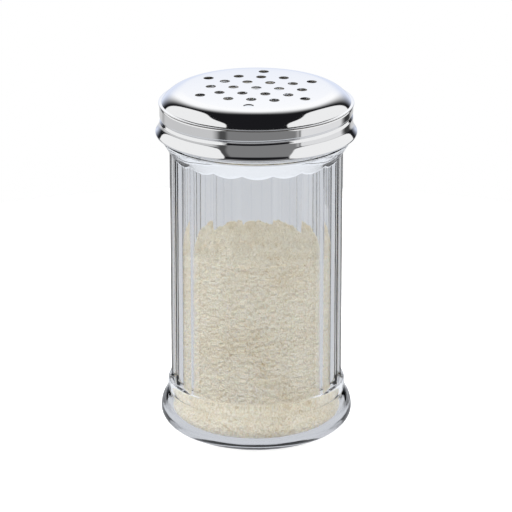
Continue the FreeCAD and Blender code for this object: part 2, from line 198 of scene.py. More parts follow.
class Studio(bpy.types.PropertyGroup):
    """Camera, floor and the light round the shaker."""

    distance: length("Distance", "Camera to the aim point", 1244.0)
    aim_height: length("Aim height", "Height of the point the camera looks at", 70.2)
    aim_side: length("Aim side", "How far left of the axis the camera looks", 0.12)
    pitch: angle("Pitch", "How far the camera looks down", 19.48)
    swing: angle("Swing", "How far left of the shaker's front the camera stands", 0.8)
    lens: FloatProperty(name="Lens", description="Focal length", default=223.4, unit="CAMERA")
    floor_radius: length("Floor radius", "Radius of the pale floor", 300.0)
    floor_tone: colour("Floor tone", "Colour of the floor", (0.8, 0.8, 0.8))
    floor_lift: share("Floor lift", "Light added to the floor where it is seen", 0.6)
    back_light: number("Back light", "Strength of the wall behind", 1.15)
    back_high: colour("Back light, high", "Colour of the wall behind", (1.0, 1.0, 1.0))
    back_low: colour("Back light, low", "Colour of that wall near the floor", (0.70, 0.75, 0.88))
    backdrop: colour("Backdrop", "Wall and floor as seen through glass", (0.91, 0.94, 0.99))
    floor_mirrored: colour("Floor, mirrored", "Floor as the steel mirrors it", (0.56, 0.58, 0.62))
    side_box: colour("Side boxes", "Light of the two side panels", (1.0, 1.0, 0.99))
    top_light: power("Top light", "Lamp overhead", 3)
    back_lamp: power("Back lamp", "Lamp behind", 6.5)
    side_lamps: power("Side lamps", "Each lamp at the sides", 6.5)
    front_light: power("Front light", "Lamp in front", 4.8)
    dark: colour("Dark", "The unlit side behind the camera and overhead", (0.012, 0.012, 0.014))


class Value:
    """A number socket. Each Python operator on it adds the Math node that does the same."""

    def __init__(self, tree, socket):
        self.tree = tree
        self.socket = socket

    def _math(self, operation, first, second=None):
        node = self.tree.node("ShaderNodeMath", {"operation": operation}, {0: first, 1: second})
        return self.tree.value(node, 0)

    def __add__(self, other):
        return self._math("ADD", self, other)

    __radd__ = __add__

    def __sub__(self, other):
        return self._math("SUBTRACT", self, other)

    def __rsub__(self, other):
        return self._math("SUBTRACT", other, self)

    def __mul__(self, other):
        return self._math("MULTIPLY", self, other)

    __rmul__ = __mul__

    def __truediv__(self, other):
        return self._math("DIVIDE", self, other)

    def __rtruediv__(self, other):
        return self._math("DIVIDE", other, self)

    def __pow__(self, other):
        return self._math("POWER", self, other)

    def __neg__(self):
        return self._math("MULTIPLY", self, -1.0)

    def __abs__(self):
        return self._math("ABSOLUTE", self)

    def at_most(self, other):
        return self._math("MINIMUM", self, other)

    def turn(self, ahead):
        """Bearing in degrees of a direction with this much sideways and that much ahead."""
        return self._math("ARCTAN2", self, ahead) * (180 / math.pi)

    def rise(self):
        """Degrees above the horizon of a direction with this much upwards."""
        return self._math("ARCSINE", self) * (180 / math.pi)

    def within(self, middle, reach, soft):
        """1 within a reach of a middle value and 0 away from it, with a soft edge."""
        return 1 - abs(self - middle).step(reach - soft, reach + soft)

    def step(self, low, high):
        """0 up to low, 1 from high, smooth between them."""
        settings = {"interpolation_type": "SMOOTHSTEP"}
        node = self.tree.node("ShaderNodeMapRange", settings, {"Value": self, 1: low, 2: high})
        return self.tree.value(node, 0)


class Tree:
    """Adds nodes to one node tree."""

    def __init__(self, node_tree):
        self.node_tree = node_tree
        node_tree.nodes.clear()

    def node(self, kind, settings=None, inputs=None):
        """One node of a type, with its settings made first and then its sockets' values or links."""
        node = self.node_tree.nodes.new(kind)
        for name, setting in (settings or {}).items():
            if name == "stops":
                self._set_stops(node.color_ramp, setting)
            else:
                setattr(node, name, setting)
        for name, given in (inputs or {}).items():
            if given is None:
                continue
            socket = node.inputs[name]
            source = given.socket if isinstance(given, Value) else given
            if isinstance(source, bpy.types.NodeSocket):
                self.node_tree.links.new(source, socket)
            else:
                socket.default_value = source
        return node

    def _set_stops(self, ramp, stops):
        while len(ramp.elements) < len(stops):
            ramp.elements.new(0.5)
        for element, (position, shade) in zip(ramp.elements, stops):
            element.position = position
            element.color = (*shade, 1.0)

    def value(self, node, output):
        return Value(self, node.outputs[output])

    def mix(self, factor, first, second):
        """Colour from first to second as factor goes from 0 to 1."""
        inputs = {0: factor, 6: self._opaque(first), 7: self._opaque(second)}
        return self.node("ShaderNodeMix", {"data_type": "RGBA"}, inputs).outputs[2]

    def grey(self, value):
        return self.node("ShaderNodeCombineColor", None, {0: value, 1: value, 2: value}).outputs[0]

    def _opaque(self, shade):
        if isinstance(shade, bpy.types.NodeSocket):
            return shade
        return (*shade, 1.0)

    def noise(self, place, scale, detail=3.0, roughness=0.5):
        inputs = {"Vector": place, "Scale": scale, "Detail": detail, "Roughness": roughness}
        return self.value(self.node("ShaderNodeTexNoise", None, inputs), 0)

    def cells(self, place, scale):
        """Distance to the middle of the nearest of many small cells."""
        cells = self.node("ShaderNodeTexVoronoi", None, {"Vector": place, "Scale": scale})
        return self.value(cells, "Distance")

    def parts(self, vector):
        """The X, Y and Z of a vector, each as a Value."""
        node = self.node("ShaderNodeSeparateXYZ", None, {0: vector})
        return [self.value(node, axis) for axis in "XYZ"]

    def scaled(self, vector, factor):
        inputs = {0: vector, "Scale": factor}
        return self.node("ShaderNodeVectorMath", {"operation": "SCALE"}, inputs).outputs[0]

    def bump(self, height, strength, distance):
        inputs = {"Height": height, "Strength": strength, "Distance": distance}
        return self.node("ShaderNodeBump", None, inputs).outputs[0]


def new_material(name):
    material = bpy.data.materials.new(name)
    material.use_nodes = True
    return material, Tree(material.node_tree)


def object_place(tree):
    return tree.node("ShaderNodeTexCoord").outputs["Object"]


def finish_material(tree, shader):
    tree.node("ShaderNodeOutputMaterial", None, {"Surface": shader})


def clear_glass(look):
    """Pressed glass: clear, with the faint waviness of the mould. Light passes to its contents."""
    material, tree = new_material("pressed_clear_glass")
    place = object_place(tree)
    wave = tree.noise(place, scale=70.0, detail=2.0)
    inputs = {
        "Base Color": (*look.glass_tint, 1.0),
        "Roughness": 0.0,
        "IOR": 1.5,
        "Transmission Weight": 1.0,
        "Normal": tree.bump(wave, strength=0.25, distance=0.4 * MM),
    }
    glass = tree.node("ShaderNodeBsdfPrincipled", None, inputs).outputs[0]
    passed = (0.93, 0.94, 0.94, 1.0)
    clear = tree.node("ShaderNodeBsdfTransparent", None, {"Color": passed}).outputs[0]
    shadow = tree.node("ShaderNodeLightPath").outputs["Is Shadow Ray"]
    mixed = tree.node("ShaderNodeMixShader", None, {0: shadow, 1: glass, 2: clear}).outputs[0]
    finish_material(tree, mixed)
    return material


def polished_steel(look):
    """Drawn and polished stainless sheet with faint smears from hands. Its inside is rougher and
    carries painted shade, a dark colour standing for the shade inside the cap.
    """
    material, tree = new_material("polished_stainless_steel")
    place = object_place(tree)
    smear = tree.noise(place, scale=55.0, detail=4.0, roughness=0.6).step(0.5, 0.75)
    orange_peel = tree.noise(place, scale=260.0, detail=2.0)
    normal = tree.node("ShaderNodeNewGeometry").outputs["Normal"]
    x, y, _ = tree.parts(place)
    facing_x, facing_y, facing_z = tree.parts(normal)
    outward = x * facing_x + y * facing_y + facing_z * (30 * MM)
    # Painted shade: the inside takes the dark inside colour, along with a real rougher finish.
    inside = 1 - outward.step(-6 * MM, 0.0)
    polish = look.steel_roughness + smear * 0.035
    inputs = {
        "Base Color": tree.mix(inside, look.steel, look.steel_inside_painted_shade),
        "Metallic": 1.0,
        "Roughness": polish + inside * 0.35,
        "Normal": tree.bump(orange_peel, strength=0.05, distance=0.02 * MM),
    }
    finish_material(tree, tree.node("ShaderNodeBsdfPrincipled", None, inputs).outputs[0])
    return material


def grated_cheese(look):
    """Dry hard-cheese gratings: pale grains, painted shade between them, deeper random patches and a
    few rind flecks.
    """
    material, tree = new_material("grated_hard_cheese")
    place = object_place(tree)
    grains = tree.cells(place, 1250.0)
    crumbs = tree.cells(place, 520.0)
    patches = tree.noise(place, scale=45.0, detail=3.0, roughness=0.6)
    fine = tree.noise(place, scale=1500.0, detail=3.0, roughness=0.65)
    fleck_pick = tree.noise(place, scale=620.0, detail=3.0, roughness=0.7)
    # Painted shade: the gaps between grains, low in the bump, are coloured deeper. The larger patches
    # are random tone.
    gaps = grains.step(0.35, 0.8)
    between = (gaps * 0.65 + patches.step(0.48, 0.7) * 0.35).at_most(1.0)
    tone = tree.mix(between, look.cheese_pale, look.cheese_deep_and_grain_shade)
    fleck = fleck_pick.step(0.60, 0.70) * patches.step(0.42, 0.6)
    tone = tree.mix(fleck * 0.75, tone, look.cheese_rind)
    height = (1.0 - grains) * 0.6 + (1.0 - crumbs) * 0.8 + fine * 0.5
    inputs = {
        "Base Color": tone,
        "Roughness": 0.85,
        "Subsurface Weight": 0.25,
        "Subsurface Radius": (0.0016, 0.0011, 0.0006),
        "Subsurface Scale": 1.0,
        "Normal": tree.bump(height, strength=0.9, distance=0.7 * MM),
    }
    finish_material(tree, tree.node("ShaderNodeBsdfPrincipled", None, inputs).outputs[0])
    return material


def fillet(before, corner, after, radius, steps):
    """Points of the arc that rounds a corner."""
    into = (before - corner) / np.linalg.norm(before - corner)
    away = (after - corner) / np.linalg.norm(after - corner)
    half = 0.5 * math.acos(float(np.clip(into @ away, -1, 1)))
    nearly_straight = 1.5
    if half > nearly_straight:
        return [corner] * steps
    middle = (into + away) / np.linalg.norm(into + away)
    centre = corner + middle * radius / math.sin(half)
    first = corner + into * radius / math.tan(half) - centre
    last = corner + away * radius / math.tan(half) - centre
    start = math.atan2(first[1], first[0])
    sweep = (math.atan2(last[1], last[0]) - start + math.pi) % TURN - math.pi
    bearings = start + sweep * np.linspace(0, 1, steps)
    return [centre + radius * np.array((math.cos(b), math.sin(b))) for b in bearings]


def soften(points, steps=6, hold=0.3 * MM):
    """Rounds the corners of an outline of (across, up, rounding).

    Two more points hold each straight run between roundings flat.
    """
    places = [np.array(point[:2]) for point in points]
    runs = []
    for index, (_, _, rounding) in enumerate(points):
        if rounding:
            runs.append(fillet(*places[index - 1 : index + 2], rounding, steps))
        else:
            runs.append([places[index]])
    outline = list(runs[0])
    longest_share = 0.33
    for index in range(1, len(points)):
        if points[index - 1][2] and points[index][2]:
            start, stop = runs[index - 1][-1], runs[index][0]
            reach = min(hold / max(np.linalg.norm(stop - start), 1e-9), longest_share)
            outline += [start + (stop - start) * reach, stop + (start - stop) * reach]
        outline += runs[index]
    return np.array(outline)


def oval(centre, half_axes, first, last, count):
    """Points round an oval, both ends in, by bearings in degrees, with no rounding of their own."""
    bearings = np.radians(np.linspace(first, last, count))
    across = centre[0] + half_axes[0] * np.cos(bearings)
    up = centre[1] + half_axes[1] * np.sin(bearings)
    return [(a, u, 0) for a, u in zip(across, up)]


def turned_mesh(name, across, up, bearings):
    """A closed mesh from rows of radii and heights. Its first and last rows are points on the axis."""
    rows, count = across.shape
    ring = np.stack((across * np.cos(bearings), across * np.sin(bearings), up), axis=-1)
    inner = ring[1:-1].reshape(-1, 3)
    vertices = np.vstack((ring[0, :1], inner, ring[-1, :1]))
    here = np.arange(count)
    beside = (here + 1) % count
    faces = []
    for row in range(rows - 3):
        low = 1 + row * count
        high = low + count
        faces += np.stack((low + here, low + beside, high + beside, high + here), axis=-1).tolist()
    last_ring = 1 + (rows - 3) * count
    end = len(vertices) - 1
    faces += np.stack((np.zeros(count, int), 1 + beside, 1 + here), axis=-1).tolist()
    faces += np.stack((np.full(count, end), last_ring + here, last_ring + beside), axis=-1).tolist()
    mesh = bpy.data.meshes.new(name)
    mesh.from_pydata(vertices.tolist(), [], faces)
    mesh.validate()
    mesh.shade_smooth()
    return mesh


def new_piece(name, mesh, material, body, slot, *replaced):
    """An object for a finished mesh that rides on a body and stands for CAD nodes."""
    mesh.materials.clear()
    mesh.materials.append(material)
    piece = bpy.data.objects.new(name, mesh)
    bpy.context.scene.collection.objects.link(piece)
    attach(piece, body)
    if replaced:
        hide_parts(*replaced)
    return piece


def applied(mesh, group, values):
    """A plain mesh from a geometry tree on a mesh, with the tree's inputs set by their identifiers."""
    holder = bpy.data.objects.new("work", mesh)
    bpy.context.scene.collection.objects.link(holder)
    modifier = holder.modifiers.new(group.name, "NODES")
    modifier.node_group = group
    for item in group.interface.items_tree:
        if item.item_type == "SOCKET" and item.in_out == "INPUT" and item.name in values:
            modifier[item.identifier] = values[item.name]
    ready = holder.evaluated_get(bpy.context.evaluated_depsgraph_get())
    result = bpy.data.meshes.new_from_object(ready)
    bpy.data.objects.remove(holder)
    return result


def geometry_tree(name, floats):
    """An empty geometry tree with a mesh in, a mesh out and named number inputs."""
    group = bpy.data.node_groups.new(name, "GeometryNodeTree")
    group.interface.new_socket("Geometry", in_out="INPUT", socket_type="NodeSocketGeometry")
    for number in floats:
        group.interface.new_socket(number, in_out="INPUT", socket_type="NodeSocketFloat")
    group.interface.new_socket("Geometry", in_out="OUTPUT", socket_type="NodeSocketGeometry")
    return group, Tree(group)


def finish_geometry(tree, geometry, material):
    realized = tree.node("GeometryNodeRealizeInstances", None, {0: geometry}).outputs[0]
    inputs = {"Geometry": realized, "Material": material}
    painted = tree.node("GeometryNodeSetMaterial", None, inputs).outputs[0]
    tree.node("NodeGroupOutput", None, {0: painted})


def thread_line(bearings, heights, start_height, turns, half_width, thread):
    """1 on the line of the thread and 0 away from it, run out at both ends."""
    line = np.zeros(np.broadcast(bearings, heights).shape)
    for lap in (0, 1):
        turn = (bearings - thread.start) / TURN + lap
        ends = np.clip(np.minimum(turn, turns - turn) / thread.run_out, 0, 1)
        off = np.clip(abs(heights - start_height - thread.lead * turn) / half_width, 0, 1)
        line = np.maximum(line, ends * ends * (3 - 2 * ends) * np.cos(off * math.pi / 2) ** 2)
    return line


def glass_outline(glass, panel_radius):
    """Section of the jar at one bearing, from under its middle over the lip to the floor inside."""
    soft = glass.press_rounding
    sharp = 0.75 * soft
    shoulder_top = glass.height - glass.finish_height
    shoulder_low = shoulder_top - glass.shoulder_band
    spread = (glass.shoulder_radius - glass.corner_radius) / glass.collar_height
    scallop = shoulder_low - (glass.shoulder_radius - panel_radius) / spread
    heel = glass.foot_radius - glass.bearing_radius
    side_end = math.degrees(math.asin((glass.notch_height - glass.foot_waist) / glass.foot_side))
    bead_half = (glass.ledge_height - glass.notch_height) / 2
    bead_centre = (glass.ledge_radius, glass.notch_height + bead_half)
    side_centre = (glass.foot_radius - glass.foot_side, glass.foot_waist)
    dish = [(glass.dish_radius * s, glass.dish_depth * (1 - s * s), 0) for s in np.linspace(0, 0.96, 8)]
    points = dish + [(glass.dish_radius, 0, soft)]
    points += oval((glass.bearing_radius, glass.foot_waist), (heel, glass.foot_waist), -90, 0, 18)
    points += oval(side_centre, (glass.foot_side, glass.foot_side), 0, side_end, 10)[1:-1]
    notch_radius = side_centre[0] + glass.foot_side * math.cos(math.radians(side_end))
    points += [(notch_radius, glass.notch_height, soft)]
    points += oval(bead_centre, (glass.bead_bulge, bead_half), -50, 90, 12)
    points += [(panel_radius, glass.ledge_height, soft)]
    points += [(panel_radius, scallop, soft * 3)]
    points += [(glass.shoulder_radius, shoulder_low, soft)]
    points += [(glass.shoulder_radius, shoulder_top, sharp)]
    points += [(glass.neck_radius, shoulder_top, sharp)]
    lip_low = glass.height - 1.5 * glass.lip_rounding
    neck = np.linspace(shoulder_top + 1 * MM, lip_low, 80)
    points += [(glass.neck_radius, height, 0) for height in neck]
    points += [(glass.neck_radius, glass.height, glass.lip_rounding)]
    points += [(glass.mouth_radius, glass.height, glass.lip_rounding)]
    points += cavity_outline(glass, 0)[::-1]
    return soften(points)


def cavity_outline(glass, gap):
    """Inside of the jar less a gap, from the middle of its floor to the start of the straight wall."""
    corner = glass.cavity_corner
    foot = glass.foot_radius - glass.foot_wall
    centre = (foot - corner, glass.floor_height + corner)
    low = glass.floor_height + gap
    points = [((foot - corner) * s, low, 0) for s in (0, 0.25, 0.5, 0.75, 0.95)]
    points += oval(centre, (corner - gap, corner - gap), -90, 0, 14)
    for way_up in np.linspace(0, 1, 24)[1:]:
        fall = 0.5 + 0.5 * math.cos(math.pi * way_up)
        height = centre[1] + (glass.ledge_height - centre[1]) * way_up
        points += [(glass.mouth_radius + (foot - glass.mouth_radius) * fall - gap, height, 0)]
    return points


class SHAKER_OT_glass(bpy.types.Operator):
    """Press the jar: foot, bead, fluted panels, scalloped collar, threaded neck and rounded lip"""

    bl_idname = "shaker.glass"
    bl_label = "Glass jar"

    def execute(self, context):
        glass = context.scene.shaker_glass
        thread = context.scene.shaker_thread
        half_panel = math.pi / glass.panels
        closer_to_edge = np.array([0, 0.15, 0.3, 0.45, 0.6, 0.72, 0.82, 0.9, 0.96])
        offsets = np.concatenate((-closer_to_edge[:0:-1], closer_to_edge, [1.0])) * half_panel
        middles = -math.pi / 2 + np.arange(glass.panels) * 2 * half_panel
        bearings = (middles[:, None] + offsets[None, :]).ravel() % TURN
        order = np.argsort(bearings)
        flat = glass.corner_radius * math.cos(half_panel) / np.cos(offsets)
        radii = flat - glass.flute_depth * (1 - (offsets / half_panel) ** 2)
        outlines = np.stack([glass_outline(glass, radius) for radius in radii], axis=1)
        grid = np.tile(outlines, (1, glass.panels, 1))[:, order]
        bearings = bearings[order][None, :]
        across, up = grid[..., 0], grid[..., 1]
        start = glass.height - glass.finish_height + thread.height + thread.lead / 2
        line = thread_line(bearings, up, start, thread.glass_turns, glass.thread_half_width, thread)
        on_neck = abs(across - glass.neck_radius) < 0.01 * MM
        across = across + on_neck * line * (glass.thread_crest - glass.neck_radius)
        mesh = turned_mesh("glass_body", across, up, bearings)
        finish = clear_glass(context.scene.shaker_finishes)
        new_piece("glass_body", mesh, finish, "jar", "clear_glass", "glass_jar")
        return {"FINISHED"}


def sheet_outline(cap, glass_top):
    """Section of the sheet from the crown's middle outside, round the rim, to its middle inside."""
    top = CAP_HIGH.z
    step = 0.05 * MM
    inner_corner = 0.2 * MM
    tilt = math.degrees(math.atan(2 * cap.crown_drop / cap.crown_radius))
    bearing = math.radians(90 - tilt)
    rounding = cap.dome_rounding
    centre = (
        cap.crown_radius - rounding * math.cos(bearing),
        top - cap.crown_drop - rounding * math.sin(bearing),
    )
    lip_top = glass_top + cap.lip_rise
    lip_low = lip_top - cap.lip_height
    seat = glass_top + cap.seat_clearance
    outer_end = math.degrees(math.asin((lip_top - centre[1]) / rounding))
    inner_dome = rounding - cap.sheet
    inner_end = math.degrees(math.asin((lip_low + cap.sheet / 2 - centre[1]) / inner_dome))
    rim_across = cap.rim_radius - cap.rim_rounding
    rim_up = CAP_LOW.z + cap.rim_rounding
    flare_top = rim_up + cap.flare_rise
    flare_end = rim_up + 0.6 * cap.rim_rounding
    inner_band = cap.band_radius - cap.sheet

    def crown(drop, shares):
        return [(cap.crown_radius * s, top - drop - cap.crown_drop * s * s, 0) for s in shares]

    def flare(offset, low, high, count):
        heights = np.linspace(low, high, count)
        spread = cap.flare_spread * ((flare_top - heights) / cap.flare_rise) ** 2
        return [(cap.band_radius + s - offset, height, 0) for s, height in zip(spread, heights)]

    band_top = seat + cap.sheet - cap.band_rounding
    band = np.linspace(band_top - 2 * step, flare_top, 52)
    shares = np.linspace(0, 1, 9)
    points = crown(0, shares)
    points += oval(centre, (rounding, rounding), 90 - tilt, outer_end, 22)[1:]
    points += [(cap.lip_radius, lip_top - step, inner_corner)]
    points += [(cap.lip_radius - step, lip_low, 0.15 * MM)]
    points += [(cap.crease_radius, seat + cap.sheet + 0.06 * MM, 0.03 * MM)]
    points += [(cap.band_radius, seat + cap.sheet - step, cap.band_rounding)]
    points += [(cap.band_radius, height, 0) for height in band]
    points += flare(0, flare_top, flare_end, 12)[1:]
    rim_start, rim_end = 30, -235
    points += oval((rim_across, rim_up), (cap.rim_rounding, cap.rim_rounding), rim_start, rim_end, 26)
    points += flare(cap.sheet, rim_up + 1.2 * cap.rim_rounding, flare_top, 9)
    points += [(inner_band, height, 0) for height in band[::-1][1:]]
    points += [(inner_band, seat - step, 0.25 * MM)]
    points += [(cap.crease_radius - cap.sheet, seat, inner_corner)]
    points += [(cap.crease_radius - cap.sheet, lip_low, inner_corner)]
    points += oval(centre, (inner_dome, inner_dome), inner_end, 90 - tilt, 14)
    points += crown(cap.sheet, shares[::-1][1:])
    return soften(points)


def hole_cutters(cap):
    """Geometry tree: punches one middle hole and four rings of six through the crown."""
    names = ("Hole radius", "Pitch", "Outer ring", "Turn", "Height")
    group, tree = geometry_tree("punched_holes", names)
    given = tree.node("NodeGroupInput")
    pitch = tree.value(given, "Pitch")
    turn = tree.value(given, "Turn")
    rings = [
        (pitch, turn),
        (pitch * 2.0, turn),
        (pitch * math.sqrt(3), turn + math.pi / 6),
        (tree.value(given, "Outer ring"), turn + math.pi / 6),
    ]
    places = tree.node("GeometryNodeJoinGeometry")
    links = tree.node_tree.links
    middle = tree.node("GeometryNodePoints", None, {"Count": 1})
    links.new(middle.outputs[0], places.inputs[0])
    for radius, bearing in rings:
        ring = tree.node("GeometryNodeMeshCircle", None, {"Vertices": 6, "Radius": radius}).outputs[0]
        spin = tree.node("ShaderNodeCombineXYZ", None, {"Z": bearing}).outputs[0]
        turned = tree.node("GeometryNodeTransform", None, {"Geometry": ring, "Rotation": spin})
        dots = tree.node("GeometryNodeMeshToPoints", None, {"Mesh": turned.outputs[0]}).outputs[0]
        links.new(dots, places.inputs[0])
    lift = tree.node("ShaderNodeCombineXYZ", None, {"Z": given.outputs["Height"]}).outputs[0]
    lifted = {"Geometry": places.outputs[0], "Translation": lift}
    raised = tree.node("GeometryNodeTransform", None, lifted).outputs[0]
    punch = tree.node(
        "GeometryNodeMeshCylinder",
        {"fill_type": "NGON"},
        {"Vertices": 48, "Radius": given.outputs["Hole radius"], "Depth": 6 * MM},
    )
    placed = {"Points": raised, "Instance": punch.outputs[0]}
    punches = tree.node("GeometryNodeInstanceOnPoints", None, placed)
    solid = tree.node("GeometryNodeRealizeInstances", None, {0: punches.outputs[0]}).outputs[0]
    boolean = tree.node("GeometryNodeMeshBoolean", {"operation": "DIFFERENCE", "solver": "EXACT"})
    links.new(given.outputs["Geometry"], boolean.inputs["Mesh 1"])
    links.new(solid, boolean.inputs["Mesh 2"])
    return group, tree, boolean.outputs["Mesh"]


class SHAKER_OT_cap(bpy.types.Operator):
    """Draw the sheet cap with its crease, rolled thread, flare and rim, and punch its holes"""

    bl_idname = "shaker.cap"
    bl_label = "Steel cap"

    def execute(self, context):
        cap = context.scene.shaker_cap
        glass = context.scene.shaker_glass
        thread = context.scene.shaker_thread
        finish = polished_steel(context.scene.shaker_finishes)
        outline = sheet_outline(cap, glass.height)
        columns = 288
        bearings = (np.arange(columns) * TURN / columns)[None, :]
        across = np.repeat(outline[:, :1], bearings.size, axis=1)
        up = np.repeat(outline[:, 1:], bearings.size, axis=1)
        start = glass.height - glass.finish_height + thread.height
        line = thread_line(bearings, up, start, thread.cap_turns, cap.groove_half_width, thread)
        on_band = (across > cap.band_radius - 1.5 * cap.sheet) & (across < cap.rim_radius)
        across = across - on_band * line * cap.groove_depth
        shell = turned_mesh("cap_shell", across, up, bearings)
        group, tree, punched = hole_cutters(cap)
        finish_geometry(tree, punched, finish)
        holes = {
            "Hole radius": cap.hole_radius,
            "Pitch": cap.hole_pitch,
            "Outer ring": cap.outer_ring,
            "Turn": cap.pattern_angle,
            "Height": CAP_HIGH.z,
        }
        mesh = applied(shell, group, holes)
        mesh.shade_smooth()
        mesh.set_sharp_from_angle(angle=math.radians(40))
        new_piece("steel_cap", mesh, finish, "cap", "polished_steel", "perforated_cap")
        return {"FINISHED"}


def grain_depth(place, size):
    """0 on top of a grain and towards 1 between grains."""
    distances, _ = noise.voronoi(place / size)
    grain_reach = 0.8
    return min(distances[0] / grain_reach, 1.0) ** 2


class SHAKER_OT_cheese(bpy.types.Operator):
    """Heap the grated cheese inside the jar, grainy all over and lumpy on top"""

    bl_idname = "shaker.cheese"
    bl_label = "Cheese heap"

    def execute(self, context):
        cheese = context.scene.shaker_cheese
        glass = context.scene.shaker_glass
        gap = cheese.gap
        wall = glass.mouth_radius - gap
        points = cavity_outline(glass, gap)
        heights = np.linspace(glass.ledge_height, cheese.middle_height, 150)
        points += [(wall, height, 0) for height in heights[1:]]
        points += [(wall * s, cheese.middle_height, 0) for s in np.linspace(1, 0, 75)[1:]]
        outline = soften(points)
        columns = 360
        bearings = (np.arange(columns) * TURN / columns)[None, :]
        across = np.repeat(outline[:, :1], bearings.size, axis=1)
        up = np.repeat(outline[:, 1:], bearings.size, axis=1)
        depths = across * np.sin(bearings) / wall
        settled = np.where(depths < 0, cheese.front_height, cheese.back_height) - cheese.middle_height
        sideways = across * np.cos(bearings) / wall
        settled = cheese.middle_height + settled * abs(depths) ** 1.5 - cheese.side_fall * sideways**2
        lift = np.clip((up - glass.ledge_height) / (cheese.middle_height - glass.ledge_height), 0, 1)
        up = up + (settled - cheese.middle_height) * lift
        seed = Vector((cheese.seed, cheese.seed * 0.37, 0))
        roughness, spacing, octaves = 0.8, 2.0, 4
        top_blend = 2.5 * MM
        for row in range(1, len(outline) - 1):
            for column in range(columns):
                radius = across[row, column]
                bearing = bearings[0, column]
                height = up[row, column]
                place = Vector((radius * math.cos(bearing), radius * math.sin(bearing), height))
                depth = grain_depth(place + seed * MM, cheese.grain) * cheese.grain_depth
                lumps = noise.fractal(place / cheese.lump + seed, roughness, spacing, octaves)
                lumps *= cheese.lump_height
                near_top = min(max(1 - (settled[row, column] - height) / top_blend, 0), 1)
                across[row, column] = radius - depth * (1 - near_top)
                up[row, column] = height + (lumps - depth) * near_top
        mesh = turned_mesh("cheese_heap", across, up, bearings)
        finish = grated_cheese(context.scene.shaker_finishes)
        new_piece("cheese_heap", mesh, finish, "jar", "cheese", "grated_cheese")
        return {"FINISHED"}


class SHAKER_OT_crumbs(bpy.types.Operator):
    """Scatter loose crumbs over the top of the heap"""

    bl_idname = "shaker.crumbs"
    bl_label = "Cheese crumbs"

    def execute(self, context):
        cheese = context.scene.shaker_cheese
        heap = bpy.data.objects.get("cheese_heap")
        if heap is None:
            raise RuntimeError("the cheese heap comes before its crumbs")
        finish = heap.data.materials[0]
        group, tree = geometry_tree("loose_crumbs", ("Density", "Size", "Edge height", "Reach"))
        given = tree.node("NodeGroupInput")
        place = tree.node("GeometryNodeInputPosition").outputs[0]
        x, y, height = tree.parts(place)
        reach = (x**2.0 + y**2.0) ** 0.5
        near = (tree.value(given, "Reach") - reach).step(0.0, 0.2 * MM)
        upper = (height - tree.value(given, "Edge height")).step(0.0, 1.0 * MM)
        spots = tree.node(
            "GeometryNodeDistributePointsOnFaces",
            None,
            {
                "Mesh": given.outputs["Geometry"],
                "Density": tree.value(given, "Density") * near * upper,
                "Seed": cheese.seed,
            },
        )
        ball = {"Radius": 0.5, "Subdivisions": 1}
        crumb = tree.node("GeometryNodeMeshIcoSphere", None, ball).outputs[0]
        wobble = tree.node("ShaderNodeTexNoise", None, {"Vector": place, "Scale": 2.2})
        pushed = tree.node(
            "ShaderNodeVectorMath",
            {"operation": "SUBTRACT"},
            {0: wobble.outputs["Color"], 1: (0.5, 0.5, 0.5)},
        ).outputs[0]
        moved = {"Geometry": crumb, "Offset": pushed}
        rough_crumb = tree.node("GeometryNodeSetPosition", None, moved).outputs[0]
        spin = tree.node(
            "FunctionNodeRandomValue",
            {"data_type": "FLOAT_VECTOR"},
            {1: (TURN, TURN, TURN), "Seed": cheese.seed + 1},
        ).outputs[0]
        smallest, largest = (0.4, 0.4, 0.3), (1.5, 1.1, 0.9)
        sizes = tree.node(
            "FunctionNodeRandomValue",
            {"data_type": "FLOAT_VECTOR"},
            {0: smallest, 1: largest, "Seed": cheese.seed + 2},
        ).outputs[0]
        scale = tree.scaled(sizes, given.outputs["Size"])
        crumbs = tree.node(
            "GeometryNodeInstanceOnPoints",
            None,
            {"Points": spots.outputs[0], "Instance": rough_crumb, "Rotation": spin, "Scale": scale},
        ).outputs[0]
        finish_geometry(tree, crumbs, finish)
        area = math.pi * HEAP_HIGH.x**2
        values = {
            "Density": cheese.crumb_count / area,
            "Size": cheese.crumb_size,
            "Edge height": cheese.back_height - cheese.side_fall - 1.0 * MM,
            "Reach": context.scene.shaker_glass.mouth_radius - 1.2 * cheese.crumb_size,
        }
        mesh = applied(heap.data.copy(), group, values)
        mesh.shade_smooth()
        new_piece("cheese_crumbs", mesh, finish, "jar", "cheese")
        return {"FINISHED"}


